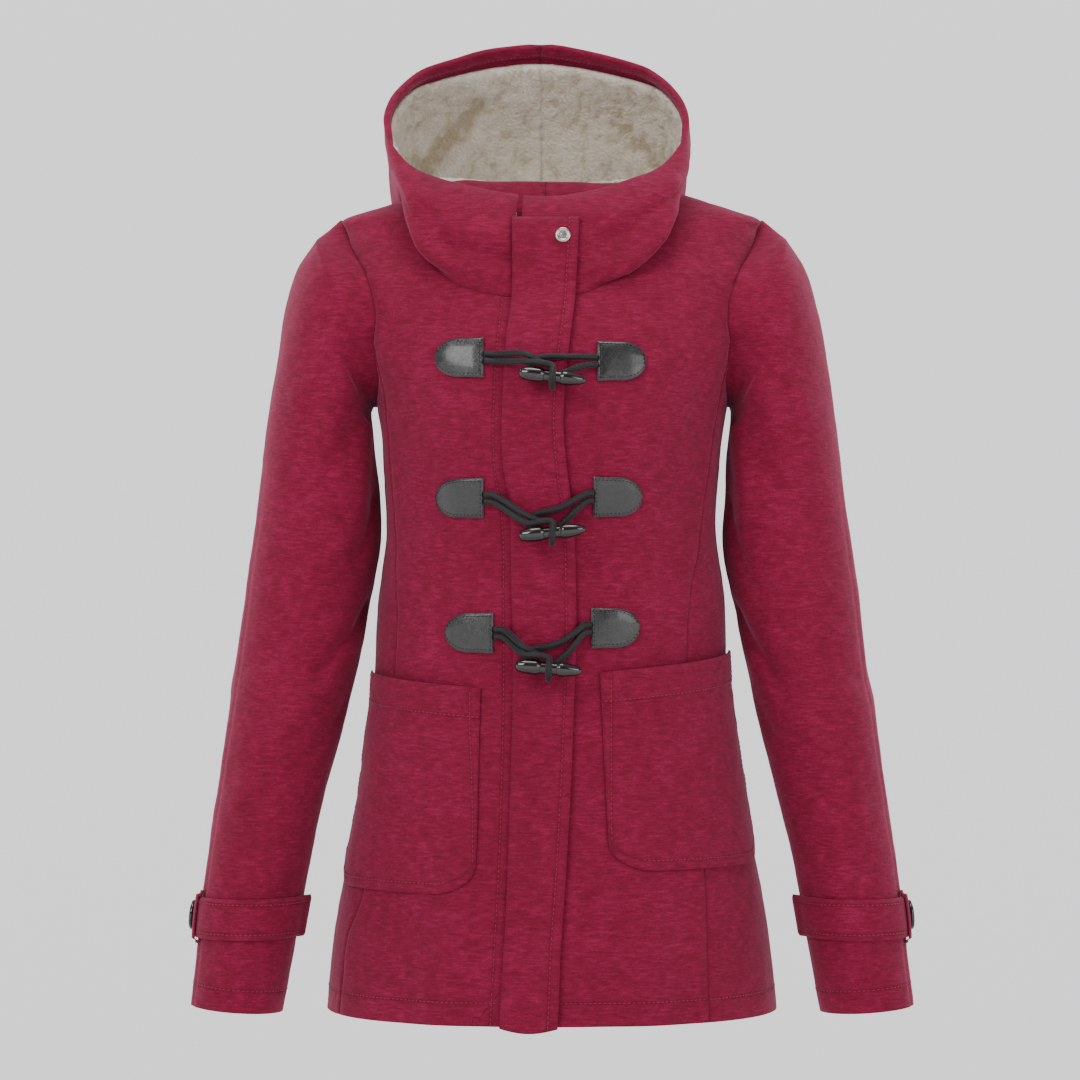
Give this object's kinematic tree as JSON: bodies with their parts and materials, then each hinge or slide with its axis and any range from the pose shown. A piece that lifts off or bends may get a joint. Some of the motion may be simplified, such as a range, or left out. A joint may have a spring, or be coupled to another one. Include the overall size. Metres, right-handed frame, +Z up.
{
  "type": "duffle coat",
  "caption": "Hooded duffle coat in worn form, hollow, with a covered placket, toggle closures, patch pockets and strapped cuffs.",
  "frame": {"origin": "middle of the coat between its shoulder points, at the height where the wearer's shoulders hold it", "axes": "+Z up; the front faces -Y; +X is the wearer's left"},
  "size_m": [0.6096, 0.3528, 0.8339],
  "materials": {
    "coating": "soft brushed wool coating, berry red, slightly mottled",
    "fleece": "curly cream pile fleece",
    "leather": "smooth black leather, semi-gloss",
    "horn": "polished black imitation horn",
    "cord": "round black braided cord",
    "metal": "pale metal snap cap, satin"
  },
  "bodies": {
    "root": {"front_right": "coating", "side_front_right": "coating", "sleeve_right": "coating", "hood_right": "coating", "pocket_right": "coating", "cuff_strap_right": "coating", "strap_loop_right": "coating", "hood_lining_right": "fleece", "cuff_button_right": "horn", "front_left": "coating", "side_front_left": "coating", "sleeve_left": "coating", "hood_left": "coating", "pocket_left": "coating", "cuff_strap_left": "coating", "strap_loop_left": "coating", "hood_lining_left": "fleece", "cuff_button_left": "horn", "back_panel": "coating", "placket": "coating", "snap_cap": "metal", "tab_right_top": "leather", "tab_left_top": "leather", "toggle_cord_top": "cord", "loop_cord_top": "cord", "toggle_top": "horn", "tab_right_middle": "leather", "tab_left_middle": "leather", "toggle_cord_middle": "cord", "loop_cord_middle": "cord", "toggle_middle": "horn", "tab_right_low": "leather", "tab_left_low": "leather", "toggle_cord_low": "cord", "loop_cord_low": "cord", "toggle_low": "horn"}
  },
  "joints": []
}
